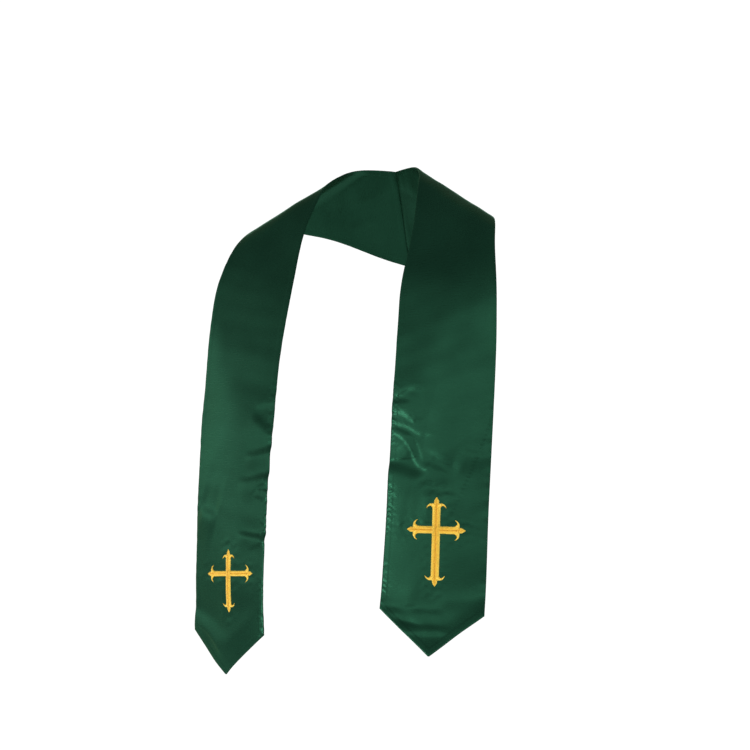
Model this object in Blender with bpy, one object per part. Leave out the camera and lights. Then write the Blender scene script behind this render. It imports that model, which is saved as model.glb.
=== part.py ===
"""A choir stole in the shape it takes when worn.

Two straight strips of satin meet in a mitred seam behind the neck, pass over the shoulders and
hang down the chest to pointed ends. A raised embroidered cross lies on each front panel.

Metres, +Z up. The origin is the nape, at the neck end of the centre-back seam. The wearer looks
along -Y, so the wearer's left half is at +X. A place on a strip is given by two flat sizes:
along (from the top of the shoulder, + towards the front end, - towards the back seam) and
across (from the strip's middle line, + towards the edge at the arm, - towards the neck).
"""
import bpy
import numpy as np
from mathutils import Vector
from mathutils.geometry import delaunay_2d_cdt

# The cut strip
STRIP_WIDTH = 0.127
WALL = 0.0020
POINT_DEPTH = 0.053
SHOULDER_TO_CORNER = {"left": 0.545, "right": 0.587}
SEAM_GAP = 0.0003
LAID_GAP = 0.0003
HALF_WIDTH = STRIP_WIDTH / 2

# Where the middle line crosses the top of the shoulder, and which way it runs there
SHOULDER_TOP = (0.119, -0.071, -0.048)
OUTWARD_DEG = 21.5
DOWNWARD_DEG = 25.5
OUTER_EDGE_DOWN_DEG = 19.0

# Each row eases the strip round between two places along it: bend follows the body, twist turns
# the arm edge back, turn swings the strip outward in its own plane
SHARED_BENDS = (
    dict(place="down the back", start=-0.190, end=-0.060, bend=23.0, twist=4.0, turn=0.0),
    dict(place="up to the shoulder", start=-0.060, end=0.000, bend=56.0, twist=-4.0, turn=0.0),
    dict(place="over the shoulder", start=-0.015, end=0.060, bend=53.0, twist=0.0, turn=0.0),
    dict(place="round the neck", start=-0.090, end=0.070, bend=0.0, twist=0.0, turn=-6.0),
)
FRONT_BENDS = {
    "left": (
        dict(place="upper chest", start=0.040, end=0.240, bend=26.0, twist=12.5, turn=0.0),
        dict(place="side of the chest", start=0.060, end=0.300, bend=0.0, twist=0.0, turn=-4.7),
        dict(place="below the chest", start=0.200, end=0.540, bend=-2.0, twist=4.0, turn=0.0),
    ),
    "right": (
        dict(place="upper chest", start=0.040, end=0.240, bend=17.0, twist=11.0, turn=0.0),
        dict(place="side of the chest", start=0.060, end=0.300, bend=0.0, twist=0.0, turn=-5.5),
        dict(place="below the chest", start=0.200, end=0.540, bend=6.5, twist=6.0, turn=0.0),
    ),
}

# The lines that the cloth bends about slant across the strip, so the shoulder slopes
SHOULDER_SLANT_DEG = 40.0
BACK_SLANT_DEG = 28.0
BACK_SLANT_SPAN = (-0.150, -0.030)
SLANT_FADE_SPAN = (0.050, 0.230)

# The cloth is eased in where it rounds the neck, and each panel is slightly crowned
NECK_EASE = 0.18
NECK_EASE_IN_SPAN = (-0.160, -0.040)
NECK_EASE_OUT_SPAN = (0.030, 0.170)
CROWN_DEG = 13.0
CROWN_SPAN = (0.030, 0.250)

# The largest creases, as soft ridges (+ height) and troughs (- height) on the flat strip.
# angle is measured from the across direction, + when the outer end is lower.
CREASES = {
    "left": (
        dict(along=0.279, across=-0.049, length=0.036, width=0.007, angle=26, height=0.0018),
        dict(along=0.291, across=-0.052, length=0.036, width=0.008, angle=8, height=-0.0014),
        dict(along=0.325, across=-0.038, length=0.060, width=0.008, angle=21, height=0.0026),
        dict(along=0.333, across=-0.054, length=0.036, width=0.008, angle=24, height=-0.0018),
        dict(along=0.350, across=-0.038, length=0.070, width=0.009, angle=45, height=0.0026),
        dict(along=0.378, across=-0.044, length=0.050, width=0.012, angle=4, height=-0.0020),
        dict(along=0.356, across=-0.004, length=0.070, width=0.014, angle=21, height=0.0014),
        dict(along=0.553, across=-0.026, length=0.056, width=0.010, angle=12, height=0.0016),
        dict(along=0.564, across=-0.014, length=0.050, width=0.009, angle=8, height=-0.0012),
    ),
    "right": (
        dict(along=0.410, across=-0.047, length=0.040, width=0.009, angle=39, height=0.0018),
        dict(along=0.396, across=-0.050, length=0.034, width=0.009, angle=20, height=-0.0014),
        dict(along=0.474, across=-0.055, length=0.026, width=0.008, angle=14, height=-0.0012),
        dict(along=0.580, across=-0.034, length=0.090, width=0.011, angle=40, height=0.0020),
        dict(along=0.596, across=0.040, length=0.056, width=0.010, angle=-22, height=0.0018),
        dict(along=0.588, across=0.024, length=0.060, width=0.012, angle=-34, height=-0.0012),
    ),
}

# The embroidered crosses: centre of the bars on the strip, reach of each arm, and lean
EMBROIDERY_HEIGHT = 0.0014
EMBROIDERY_EDGE_HEIGHT = 0.0009
CROSSES = {
    "left": dict(along=0.4455, across=0.0008, up=0.0400, down=0.0686, side=0.0365, bar=0.0100,
                 crossbar=0.0090, fleur=0.0128, upright_lean=1.8, crossbar_lean=1.7),
    "right": dict(along=0.5160, across=-0.0047, up=0.0305, down=0.0487, side=0.0412, bar=0.0086,
                  crossbar=0.0066, fleur=0.0110, upright_lean=-2.1, crossbar_lean=-0.3),
}

# The fleur at the end of each arm, in shares of its half width: how far the bud stands out past
# the crown of the hooks, how far below the crown the bar begins to flare, and the places (run
# past the crown, side) round one hook and one side of the bud
FLEUR_BUD = 0.57
FLEUR_FLARE = 0.66
FLEUR_SHARES = (
    (-0.42, 0.43),
    (-0.26, 0.56),
    (-0.31, 0.75),
    (-0.52, 1.00),
    (-0.18, 0.87),
    (-0.02, 0.62),
    (0.00, 0.29),
    (0.22, 0.24),
    (0.42, 0.12),
)

# Mesh fineness
FRAME_STEPS = 251
BACK_REACH = -0.300
FRONT_REACH = 0.700
ROWS = 88
COLUMNS = 15
CHEVRON_LENGTH = 0.100
SEAM_CHEVRON_LENGTH = 0.080
CROSS_POINT_PITCH = 0.006
SEAM_SEARCH_SPAN = (-0.245, -0.060)
SEAM_SEARCH_STEPS = 120
NORMAL_STEP = 0.001
SHARP_EDGE_DEG = 50.0
MERGE_DISTANCE = 1e-7


def ease(value, start, end):
    """0 before start, 1 after end, and a smooth rise between them."""
    share = np.clip((value - start) / (end - start), 0.0, 1.0)
    return share * share * (3.0 - 2.0 * share)


def turned(vector, axis, angle):
    """The vector turned about a unit axis by an angle in radians."""
    along_axis = axis * np.dot(axis, vector) * (1.0 - np.cos(angle))
    return vector * np.cos(angle) + np.cross(axis, vector) * np.sin(angle) + along_axis


def slant(along):
    """Slant of the bend lines, in radians."""
    degrees = SHOULDER_SLANT_DEG * (1.0 - ease(along, *SLANT_FADE_SPAN))
    degrees = degrees + (BACK_SLANT_DEG - SHOULDER_SLANT_DEG) * (1.0 - ease(along, *BACK_SLANT_SPAN))
    return np.radians(degrees)


def strip_frame(half):
    """Carries a frame along the middle line from the top of the shoulder, both ways.

    At each step the frame turns about the slanted bend line by the eased bend, about the strip's
    run by the eased twist, and about its normal by the eased turn.
    """
    along = np.linspace(BACK_REACH, FRONT_REACH, FRAME_STEPS)
    rows = SHARED_BENDS + FRONT_BENDS[half]
    totals = {}
    for column in ("bend", "twist", "turn"):
        totals[column] = sum(np.radians(row[column]) * ease(along, row["start"], row["end"]) for row in rows)
    slants = slant(along)
    run = np.zeros((FRAME_STEPS, 3))
    side = np.zeros((FRAME_STEPS, 3))
    top = int(np.argmin(np.abs(along)))
    outward, downward, roll = np.radians((OUTWARD_DEG, DOWNWARD_DEG, OUTER_EDGE_DOWN_DEG))
    level_side = np.array((np.cos(outward), np.sin(outward), 0.0))
    run[top] = (np.sin(outward) * np.cos(downward), -np.cos(outward) * np.cos(downward), -np.sin(downward))
    side[top] = turned(level_side, run[top], -roll)
    for step, places in ((1, range(top + 1, FRAME_STEPS)), (-1, range(top - 1, -1, -1))):
        for place in places:
            before = place - step
            middle_slant = (slants[place] + slants[before]) / 2
            bend_line = np.sin(middle_slant) * run[before] + np.cos(middle_slant) * side[before]
            change = {column: total[place] - total[before] for column, total in totals.items()}
            spin = bend_line * change["bend"] - run[before] * change["twist"]
            spin = spin + np.cross(run[before], side[before]) * change["turn"]
            angle = np.linalg.norm(spin)
            axis = spin / angle if angle > 0 else run[before]
            run[place] = turned(run[before], axis, angle)
            side[place] = turned(side[before], axis, angle)
    centre = np.zeros((FRAME_STEPS, 3))
    centre[1:] = np.cumsum((run[1:] + run[:-1]) / 2, axis=0) * (along[1] - along[0])
    centre += np.array(SHOULDER_TOP) - sample(centre, along, np.zeros(1))[0]
    return dict(along=along, centre=centre, run=run, side=side, normal=np.cross(run, side), slant=slants)


def sample(rows, along, wanted):
    """Reads a table of vectors at the wanted places along the strip."""
    return np.stack([np.interp(wanted, along, rows[:, axis]) for axis in range(3)], axis=-1)


def crease_height(half, along, across):
    """Sum of the creases: each is a bell across its width that fades out towards its two ends."""
    height = np.zeros_like(along)
    for crease in CREASES[half]:
        angle = np.radians(crease["angle"])
        run = along - crease["along"]
        side = across - crease["across"]
        lengthways = (side * np.cos(angle) + run * np.sin(angle)) / (crease["length"] / 2)
        sideways = (run * np.cos(angle) - side * np.sin(angle)) / crease["width"]
        height += crease["height"] * np.exp(-sideways ** 2 - lengthways ** 4)
    return height


def middle_surface(half, frame, along, across):
    """Points of the cloth's middle layer: the frame's centre, moved out along the slanted bend
    line that passes through the flat point, eased in near the neck and crowned on the chest."""
    points = np.zeros(along.shape + (3,))
    for column in range(along.shape[1]):
        flat_across = across[0, column]
        crossing = frame["along"] + flat_across * np.tan(frame["slant"])
        place = np.interp(along[:, column], crossing, frame["along"])
        lean = np.interp(place, frame["along"], frame["slant"])[:, None]
        run = sample(frame["run"], frame["along"], place)
        side = sample(frame["side"], frame["along"], place)
        normal = sample(frame["normal"], frame["along"], place)
        bend_line = np.sin(lean) * run + np.cos(lean) * side
        bend_line /= np.linalg.norm(bend_line, axis=1)[:, None]
        eased = ease(along[:, column], *NECK_EASE_IN_SPAN) * (1.0 - ease(along[:, column], *NECK_EASE_OUT_SPAN))
        reach = flat_across * (1.0 - NECK_EASE * eased)
        crown = np.radians(CROWN_DEG) * ease(along[:, column], *CROWN_SPAN)
        sag = crown * (flat_across ** 2 / (2 * STRIP_WIDTH) - STRIP_WIDTH / 24)
        points[:, column] = sample(frame["centre"], frame["along"], place) + reach[:, None] / np.cos(lean) * bend_line
        points[:, column] -= sag[:, None] * normal
    return points


def surface_normals(points):
    """Unit normals of a grid of points, pointing away from the body."""
    run = np.gradient(points, axis=0)
    side = np.gradient(points, axis=1)
    normals = np.cross(run, side)
    return normals / np.linalg.norm(normals, axis=-1)[..., None]


def cloth_layer(half, frame, along, across, offset):
    """The cloth's surface with its creases, moved along its normals by offset."""
    points = middle_surface(half, frame, along, across)
    lift = crease_height(half, along, across) + offset
    return points + surface_normals(points) * lift[..., None]


def seam_places(half, frame, across, offset):
    """Where each lengthways line of one layer meets the plane of the centre-back seam."""
    along = np.linspace(*SEAM_SEARCH_SPAN, SEAM_SEARCH_STEPS)
    grid_along, grid_across = np.meshgrid(along, across, indexing="ij")
    layer = cloth_layer(half, frame, grid_along, grid_across, offset)
    return np.array([np.interp(SEAM_GAP / 2, layer[:, column, 0], along) for column in range(len(across))])


def strip_grid(half, frame, offset):
    """Flat places of one layer's grid: straight rows in the middle, slanting at the back seam
    and forming the point at the front end."""
    across = np.linspace(-HALF_WIDTH, HALF_WIDTH, COLUMNS)
    seam = seam_places(half, frame, across, offset)
    corner = SHOULDER_TO_CORNER[half]
    rows = np.linspace(seam.max(), corner, ROWS)
    point = POINT_DEPTH * (1.0 - np.abs(across) / HALF_WIDTH)
    towards_point = ease(rows, corner - CHEVRON_LENGTH, corner)[:, None]
    towards_seam = 1.0 - ease(rows, seam.max(), seam.max() + SEAM_CHEVRON_LENGTH)[:, None]
    along = rows[:, None] + towards_point * point + towards_seam * (seam - seam.max())
    return along, np.broadcast_to(across, along.shape)


def mirrored(points, half):
    """The wearer's right half is the left half's shape seen in a mirror."""
    return points * np.array((-1.0 if half == "right" else 1.0, 1.0, 1.0))


def new_object(name, points, faces, material):
    """A closed body from its points and faces, with its faces pointing out."""
    mesh = bpy.data.meshes.new(name)
    mesh.from_pydata([tuple(point) for point in points], [], faces)
    mesh.validate()
    mesh.update()
    mesh.shade_smooth()
    mesh.set_sharp_from_angle(angle=np.radians(SHARP_EDGE_DEG))
    mesh.materials.append(material)
    body = bpy.data.objects.new(name, mesh)
    bpy.context.scene.collection.objects.link(body)
    return body


def strip_half(half, material):
    """One half of the stole: two layers of points, a wall apart, closed round the edge."""
    frame = strip_frame(half)
    layers = []
    for offset in (WALL / 2, -WALL / 2):
        along, across = strip_grid(half, frame, offset)
        layers.append(mirrored(cloth_layer(half, frame, along, across, offset), half))
    points = np.concatenate([layer.reshape(-1, 3) for layer in layers])
    outer = np.arange(ROWS * COLUMNS).reshape(ROWS, COLUMNS)
    inner = outer + ROWS * COLUMNS
    faces = []
    for row in range(ROWS - 1):
        for column in range(COLUMNS - 1):
            near = (row, column), (row + 1, column), (row + 1, column + 1), (row, column + 1)
            faces.append([int(outer[place]) for place in near])
            faces.append([int(inner[place]) for place in reversed(near)])
    border = [(row, 0) for row in range(ROWS)]
    border += [(ROWS - 1, column) for column in range(1, COLUMNS)]
    border += [(row, COLUMNS - 1) for row in range(ROWS - 2, -1, -1)]
    border += [(0, column) for column in range(COLUMNS - 2, 0, -1)]
    for start, end in zip(border, border[1:] + border[:1]):
        faces.append([int(outer[end]), int(outer[start]), int(inner[start]), int(inner[end])])
    if half == "right":
        faces = [face[::-1] for face in faces]
    return new_object(f"stole_{half}_half", points, faces, material)


def fleur_outline(reach, bar, fleur):
    """One side of an arm that points along +x: the end of its straight bar, a hook that curls
    back towards the root, and the pointed bud beyond it."""
    crown = reach - FLEUR_BUD * fleur
    points = [(crown - FLEUR_FLARE * fleur, bar / 2)]
    points += [(crown + run * fleur, side * fleur) for run, side in FLEUR_SHARES]
    return points + [(reach, 0.0)]


def cross_outline(cross):
    """The cross in flat sizes, x across and y up the strip, anticlockwise."""
    arms = (
        (0.0, cross["side"], cross["crossbar"], cross["bar"]),
        (90.0, cross["up"], cross["bar"], cross["crossbar"]),
        (180.0, cross["side"], cross["crossbar"], cross["bar"]),
        (270.0, cross["down"], cross["bar"], cross["crossbar"]),
    )
    outline = []
    for angle, reach, bar, other_bar in arms:
        upper = [(other_bar / 2, bar / 2)] + fleur_outline(reach, bar, cross["fleur"])
        lower = [(run, -side) for run, side in upper[:-1]]
        turn = np.radians(angle)
        for run, side in lower[1:] + upper[::-1]:
            outline.append((run * np.cos(turn) - side * np.sin(turn), run * np.sin(turn) + side * np.cos(turn)))
    return outline


def evened(outline, pitch):
    """The closed outline with long sides divided, so that it can follow the panel."""
    points = []
    for start, end in zip(outline, outline[1:] + outline[:1]):
        count = max(1, int(np.ceil(np.hypot(end[0] - start[0], end[1] - start[1]) / pitch)))
        points += [(start[0] + (end[0] - start[0]) * step / count, start[1] + (end[1] - start[1]) * step / count)
                   for step in range(count)]
    return points


def cross_centre_line(cross):
    """Points down the middle of the bars, which stand highest, from the centre outwards."""
    line = [(0.0, 0.0)]
    for x, y, reach in ((1, 0, "side"), (0, 1, "up"), (-1, 0, "side"), (0, -1, "down")):
        end = cross[reach] - FLEUR_BUD * cross["fleur"]
        line += [(x * place, y * place) for place in np.arange(CROSS_POINT_PITCH, end, CROSS_POINT_PITCH)]
    return line


def embroidered_cross(half, material):
    """A raised cross laid on the front panel: its points are the panel's, moved out."""
    cross = CROSSES[half]
    frame = strip_frame(half)
    outline = evened(cross_outline(cross), CROSS_POINT_PITCH)
    middle = cross_centre_line(cross)
    flat = [Vector(point) for point in outline + middle]
    ring = list(range(len(outline)))
    result = delaunay_2d_cdt(flat, [], [ring], 1, MERGE_DISTANCE)
    flat = np.array([tuple(point) for point in result[0]])
    triangles = [list(face) for face in result[2]]
    across = cross["across"] + flat[:, 0] - flat[:, 1] * np.tan(np.radians(cross["upright_lean"]))
    along = cross["along"] - flat[:, 1] - flat[:, 0] * np.tan(np.radians(cross["crossbar_lean"]))
    on_edge = np.arange(len(flat)) < len(outline)
    height = np.where(on_edge, EMBROIDERY_EDGE_HEIGHT, EMBROIDERY_HEIGHT)
    base = WALL / 2 + LAID_GAP
    count = len(flat)
    under = np.array([panel_point(half, frame, a, c, base) for a, c in zip(along, across)])
    over = np.array([panel_point(half, frame, a, c, base + h) for a, c, h in zip(along, across, height)])
    points = mirrored(np.concatenate((over, under)), half)
    faces = []
    for face in triangles:
        faces.append(face)
        faces.append([place + count for place in reversed(face)])
    for start, end in zip(ring, ring[1:] + ring[:1]):
        faces.append([start, start + count, end + count, end])
    if half == "right":
        faces = [face[::-1] for face in faces]
    return new_object(f"cross_{half}", points, faces, material)


def panel_point(half, frame, along, across, offset):
    """One point of the cloth's surface, moved along the normal by offset."""
    steps = np.array((-NORMAL_STEP, 0.0, NORMAL_STEP))
    grid_along, grid_across = np.meshgrid(along + steps, across + steps, indexing="ij")
    return cloth_layer(half, frame, grid_along, grid_across, offset)[1, 1]


def plain_material(name, colour, roughness, metallic):
    """A Principled material with one colour."""
    material = bpy.data.materials.new(name)
    material.use_nodes = True
    shader = material.node_tree.nodes["Principled BSDF"]
    shader.inputs["Base Color"].default_value = colour + (1.0,)
    shader.inputs["Roughness"].default_value = roughness
    shader.inputs["Metallic"].default_value = metallic
    return material


def main():
    for old in list(bpy.data.objects):
        bpy.data.objects.remove(old)
    satin = plain_material("green_satin", (0.019, 0.078, 0.045), 0.42, 0.0)
    thread = plain_material("gold_thread", (0.80, 0.43, 0.045), 0.45, 0.0)
    for half in ("left", "right"):
        strip_half(half, satin)
        embroidered_cross(half, thread)


main()
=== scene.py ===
"""A satin choir stole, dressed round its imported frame: fine cloth shells and gold satin stitch.

Metres, +Z up. The origin is the nape, the wearer looks along -Y and the wearer's left is +X.
A place on a strip is given by two flat sizes: along (from the top of the shoulder, + towards the
front end, - towards the back seam) and across (from the strip's middle line, + towards the edge
at the arm, - towards the neck). The table of folds gives both in millimetres.
"""

import bpy
import numpy as np
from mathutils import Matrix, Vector


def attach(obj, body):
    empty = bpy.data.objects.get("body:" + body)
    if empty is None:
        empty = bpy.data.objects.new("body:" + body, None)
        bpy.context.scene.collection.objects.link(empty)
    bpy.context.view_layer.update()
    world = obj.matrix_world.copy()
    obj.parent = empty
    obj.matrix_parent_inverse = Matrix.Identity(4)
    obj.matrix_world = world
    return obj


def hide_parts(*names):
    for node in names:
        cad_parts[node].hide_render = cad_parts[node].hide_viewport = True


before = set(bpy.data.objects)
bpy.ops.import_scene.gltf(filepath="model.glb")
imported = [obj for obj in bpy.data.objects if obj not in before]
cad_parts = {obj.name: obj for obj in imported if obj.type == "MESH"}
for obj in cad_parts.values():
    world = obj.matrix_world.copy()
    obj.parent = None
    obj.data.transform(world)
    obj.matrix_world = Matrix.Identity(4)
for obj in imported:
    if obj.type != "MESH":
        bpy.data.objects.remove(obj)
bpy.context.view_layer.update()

MM = 0.001
MIRROR = {"left": 1.0, "right": -1.0}

# Sizes of the cut strip, as the frame's solids have them
STRIP_WIDTH = 0.127
HALF_WIDTH = STRIP_WIDTH / 2
POINT_DEPTH = 0.053
SHOULDER_TO_CORNER = {"left": 0.545, "right": 0.587}

# The strip's run and side at the top of the shoulder, and what turns them from there, each eased
# in from start to end: a bend about the slanted line, a twist about the run or a turn about the
# normal, in degrees
SHOULDER_TOP = (0.119, -0.071, -0.048)
OUTWARD_DEG = 21.5
DOWNWARD_DEG = 25.5
OUTER_EDGE_DOWN_DEG = 19.0
SHARED_BENDS = {
    "down the back": dict(start=-0.190, end=-0.060, bend=23.0, twist=4.0),
    "up to the shoulder": dict(start=-0.060, end=0.000, bend=56.0, twist=-4.0),
    "over the shoulder": dict(start=-0.015, end=0.060, bend=53.0),
    "round the neck": dict(start=-0.090, end=0.070, turn=-6.0),
}
FRONT_BENDS = {
    "left": {
        "upper chest": dict(start=0.040, end=0.240, bend=26.0, twist=12.5),
        "side of the chest": dict(start=0.060, end=0.300, turn=-4.7),
        "below the chest": dict(start=0.200, end=0.540, bend=-2.0, twist=4.0),
    },
    "right": {
        "upper chest": dict(start=0.040, end=0.240, bend=17.0, twist=11.0),
        "side of the chest": dict(start=0.060, end=0.300, turn=-5.5),
        "below the chest": dict(start=0.200, end=0.540, bend=6.5, twist=6.0),
    },
}
BEND_TABLE_STEPS = 251
BEND_TABLE_SPAN = (-0.300, 0.700)

# Slant of the bend lines, how far the neck edge is eased in, and the crown across the panel
SHOULDER_SLANT_DEG = 40.0
BACK_SLANT_DEG = 28.0
BACK_SLANT_SPAN = (-0.150, -0.030)
SLANT_FADE_SPAN = (0.050, 0.230)
SLANT_ROUNDS = 30
NECK_EASE = 0.18
NECK_EASE_IN_SPAN = (-0.160, -0.040)
NECK_EASE_OUT_SPAN = (0.030, 0.170)
CROWN_DEG = 13.0
CROWN_SPAN = (0.030, 0.250)

# How far the end of each strip is drawn towards the arm on its own surface: its outer side flares
# by the first amount and its tip swings by the second
FLARE = {"left": 0.0022, "right": 0.0}
FLARE_SPAN_ALONG = (0.400, 0.530)
FLARE_SPAN_ACROSS = (0.030, HALF_WIDTH)
SWING = {"left": 0.0024, "right": 0.0022}

# The solids' own creases: bells across their width, (along, across, length, width, angle, height)
# in metres and degrees. They are simpler and deeper than the cloth's, which takes this share of
# their height under its finer folds.
CREASE_SHARE = 0.12
CREASES = {
    "left": (
        (0.279, -0.049, 0.036, 0.007, 26, 0.0018),
        (0.291, -0.052, 0.036, 0.008, 8, -0.0014),
        (0.325, -0.038, 0.060, 0.008, 21, 0.0026),
        (0.333, -0.054, 0.036, 0.008, 24, -0.0018),
        (0.350, -0.038, 0.070, 0.009, 45, 0.0026),
        (0.378, -0.044, 0.050, 0.012, 4, -0.0020),
        (0.356, -0.004, 0.070, 0.014, 21, 0.0014),
        (0.553, -0.026, 0.056, 0.010, 12, 0.0016),
        (0.564, -0.014, 0.050, 0.009, 8, -0.0012),
    ),
    "right": (
        (0.410, -0.047, 0.040, 0.009, 39, 0.0018),
        (0.396, -0.050, 0.034, 0.009, 20, -0.0014),
        (0.474, -0.055, 0.026, 0.008, 14, -0.0012),
        (0.580, -0.034, 0.090, 0.011, 40, 0.0020),
        (0.596, 0.040, 0.056, 0.010, -22, 0.0018),
        (0.588, 0.024, 0.060, 0.012, -34, -0.0012),
    ),
}

# Finer folds: kind, size, width, and a line of places (along, across), in millimetres. A height is
# a ridge (+) or a trough (-). A lean is a step: the cloth falls back across it going down the
# panel (+), or comes forward (-), and settles again on both sides, some widths away. A bend is a
# crease beyond which the cloth falls back (+) or comes forward (-) by that share of the distance.
# Each fades in and out over these shares of its line's length.
FOLD_FADE_IN = (-0.05, 0.30)
FOLD_FADE_OUT = (0.70, 1.05)
LEAN_REACH = 5.0
FOLDS = {
    "left": {
        "lean above the creases": ("lean", -3.40, 36.0, ((226, -112), (246, -4))),
        "first crease": ("lean", 0.78, 3.2, (
            (288, -66), (283, -55), (277, -48), (274, -40), (274, -22))),
        "step under the first crease": ("lean", -0.45, 3.2, ((290, -74), (290, -36))),
        "shimmering crease": ("lean", 0.60, 3.8, (
            (302, -76), (304, -54), (307, -45), (312, -38), (319, -28))),
        "long crease": ("lean", 0.38, 2.6, (
            (316, -80), (319, -52), (323, -40), (329, -30), (330, -20), (330, 0))),
        "fall under the long crease": ("lean", -0.55, 3.0, ((320, -72), (328, -44), (337, -26))),
        "snaking crease": ("lean", 0.29, 1.9, (
            (322, -72), (331, -56), (337, -47), (344, -40), (351, -36), (358, -34), (366, -30),
            (371, -24), (374, -17), (371, -11), (362, -8), (352, -8))),
        "bay beside the snaking crease": ("lean", -0.40, 3.0, ((334, -44), (350, -30))),
        "inner crease": ("lean", 0.28, 2.1, ((334, -34), (344, -28), (354, -24), (366, -20))),
        "level crease": ("lean", 0.34, 1.8, ((366, -84), (362, -50), (358, -26))),
        "slack below the level crease": ("lean", -2.00, 8.5, ((366, -86), (374, -44), (382, -14))),
        "crossing fold": ("lean", 0.40, 5.0, ((346, -22), (354, -6), (363, 14), (371, 32))),
        "outer side comes forward": ("lean", -0.95, 28.0, ((448, -10), (462, 20), (470, 100))),
        "inner side comes forward": ("lean", -0.90, 28.0, ((462, -104), (456, -48), (450, -8))),
        "shade under the crossing fold": ("lean", -0.75, 5.0, ((362, -24), (371, 2), (380, 24))),
        "shade at the arm side": ("lean", -0.60, 5.0, ((344, 22), (352, 64))),
        "light band over the cross": ("lean", 0.55, 5.5, ((388, -30), (390, 16))),
        "shade over the cross": ("lean", -0.75, 5.0, ((399, -24), (401, 6), (401, 34))),
        "bright side of the upper panel": ("height", 1.0, 26.0, ((190, 30), (250, 12), (330, 10))),
        "level line at the corner": ("lean", 0.30, 2.4, ((539, -70), (540, -8))),
        "shade beside the point": ("lean", -0.60, 4.0, ((543, -30), (545, 20))),
        "upper ripple of the point": ("lean", 0.72, 3.4, ((548, -56), (556, -30), (561, -4))),
        "shade of the point": ("lean", -0.60, 3.2, ((558, -46), (563, -8), (562, 22))),
        "lower ripple of the point": ("lean", 0.68, 3.2, ((571, -44), (572, -6), (569, 30))),
        "dark end of the point": ("bend", -0.16, 3.0, (
            (450, -152), (486, -110), (526, -63), (579, 0), (526, 63), (486, 110), (450, 152))),
        "darker outer side of the point": ("bend", -0.09, 3.0, (
            (660, -100), (580, -2), (520, 66), (430, 168))),
        "shade at the outer corner": ("lean", -1.20, 9.0, ((538, 0), (528, 84))),
        "end comes forward": ("lean", -3.60, 28.0, ((563, -140), (559, 140))),
        "drag to the shoulder": ("height", 0.7, 12.0, ((-20, -30), (40, 0), (120, 34))),
        "drag down the back": ("height", 0.8, 9.0, ((-150, -44), (-96, -6), (-40, 30))),
        "slack of the back": ("height", -0.7, 8.0, ((-132, -2), (-92, 34))),
    },
    "right": {
        "upper swell": ("height", 0.6, 17.0, ((186, 46), (226, 40), (266, 44))),
        "long swell": ("height", 0.4, 26.0, ((270, 18), (330, 24), (390, 26))),
        "darker inner side": ("lean", -1.00, 16.0, ((206, 14), (232, -36), (250, -100))),
        "swell under the cross": ("height", 1.6, 20.0, ((436, -5), (516, -5), (650, -5))),
        "slanting shade": ("lean", -1.00, 14.0, ((250, 40), (283, -28), (304, -90))),
        "catch of light": ("lean", 0.36, 2.4, ((305, -30), (302, -74))),
        "shade by the edge": ("lean", -1.20, 5.0, ((312, -30), (343, -70))),
        "second shade": ("lean", -1.40, 4.4, ((368, -20), (357, -76))),
        "third shade": ("lean", -1.50, 4.6, ((400, -12), (391, -74))),
        "hooked crease": ("lean", 0.30, 2.0, ((420, -36), (410, -44), (405, -52), (401, -70))),
        "nick under the hooked crease": ("lean", -0.34, 2.0, ((410, -44), (413, -68))),
        "short crease": ("lean", 0.26, 2.0, ((419, -40), (426, -74))),
        "pulled shade": ("lean", -1.35, 3.6, ((464, -14), (473, -78))),
        "pulled crease": ("lean", 0.32, 2.2, ((487, -36), (474, -76))),
        "shade at the arm side": ("lean", -1.80, 7.0, ((430, 58), (442, 20))),
        "shade under the cross": ("lean", 0.80, 12.0, ((536, 78), (556, 0), (542, -76))),
        "curving crease of the point": ("lean", 0.34, 1.9, (
            (582, 72), (585, 50), (591, 36), (602, 22), (624, 0))),
        "fall outside the curving crease": ("bend", 0.10, 2.0, (
            (560, 140), (580, 84), (585, 50), (591, 36), (602, 22), (624, 0), (650, -30),
            (680, -70))),
        "light band of the point": ("lean", -1.20, 10.0, (
            (556, 92), (574, 34), (592, 8), (606, -24))),
        "fold to the point": ("bend", 0.13, 2.6, (
            (500, -152), (546, -84), (574, -40), (592, -18), (616, 8), (655, 60), (690, 110))),
        "drag to the shoulder": ("height", 0.6, 12.0, ((-14, -24), (46, 4), (110, 30))),
        "drag down the back": ("height", 0.7, 9.0, ((-146, -40), (-90, 0), (-44, 34))),
        "slack of the back": ("height", -0.8, 8.0, ((-124, 6), (-88, 40))),
    },
}

# Seeded waves: their number, shortest and longest length, and how far they turn from the strip's
# run. The crumpled place is on the left panel alone.
WAVES = {
    "broad slack": dict(count=6, lengths=(0.070, 0.190), turn_deg=75.0, left=11, right=12),
    "small slack": dict(count=8, lengths=(0.022, 0.055), turn_deg=65.0, left=21, right=22),
    "neck edge": dict(count=14, lengths=(0.0038, 0.0130), turn_deg=52.0, left=31, right=32),
    "arm edge": dict(count=9, lengths=(0.0080, 0.0240), turn_deg=24.0, left=32, right=33),
    "uneven": dict(count=4, lengths=(0.060, 0.150), turn_deg=10.0, left=33, right=34),
    "crumple": dict(count=10, lengths=(0.0045, 0.0100), turn_deg=180.0, left=41),
    "stitching": dict(count=7, lengths=(0.010, 0.024), turn_deg=80.0, left=51, right=52),
}

# Slack of the satin, and the oval round the cross in which its stiff stitching calms it
BROAD_SLACK = 0.00055
SMALL_SLACK = 0.00010
CALM_CENTRE_BELOW = 0.012
CALM_REACH = (0.062, 0.044)
CALM_SPAN = (0.7, 1.5)
CALM_SHARE = 0.35

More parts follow.
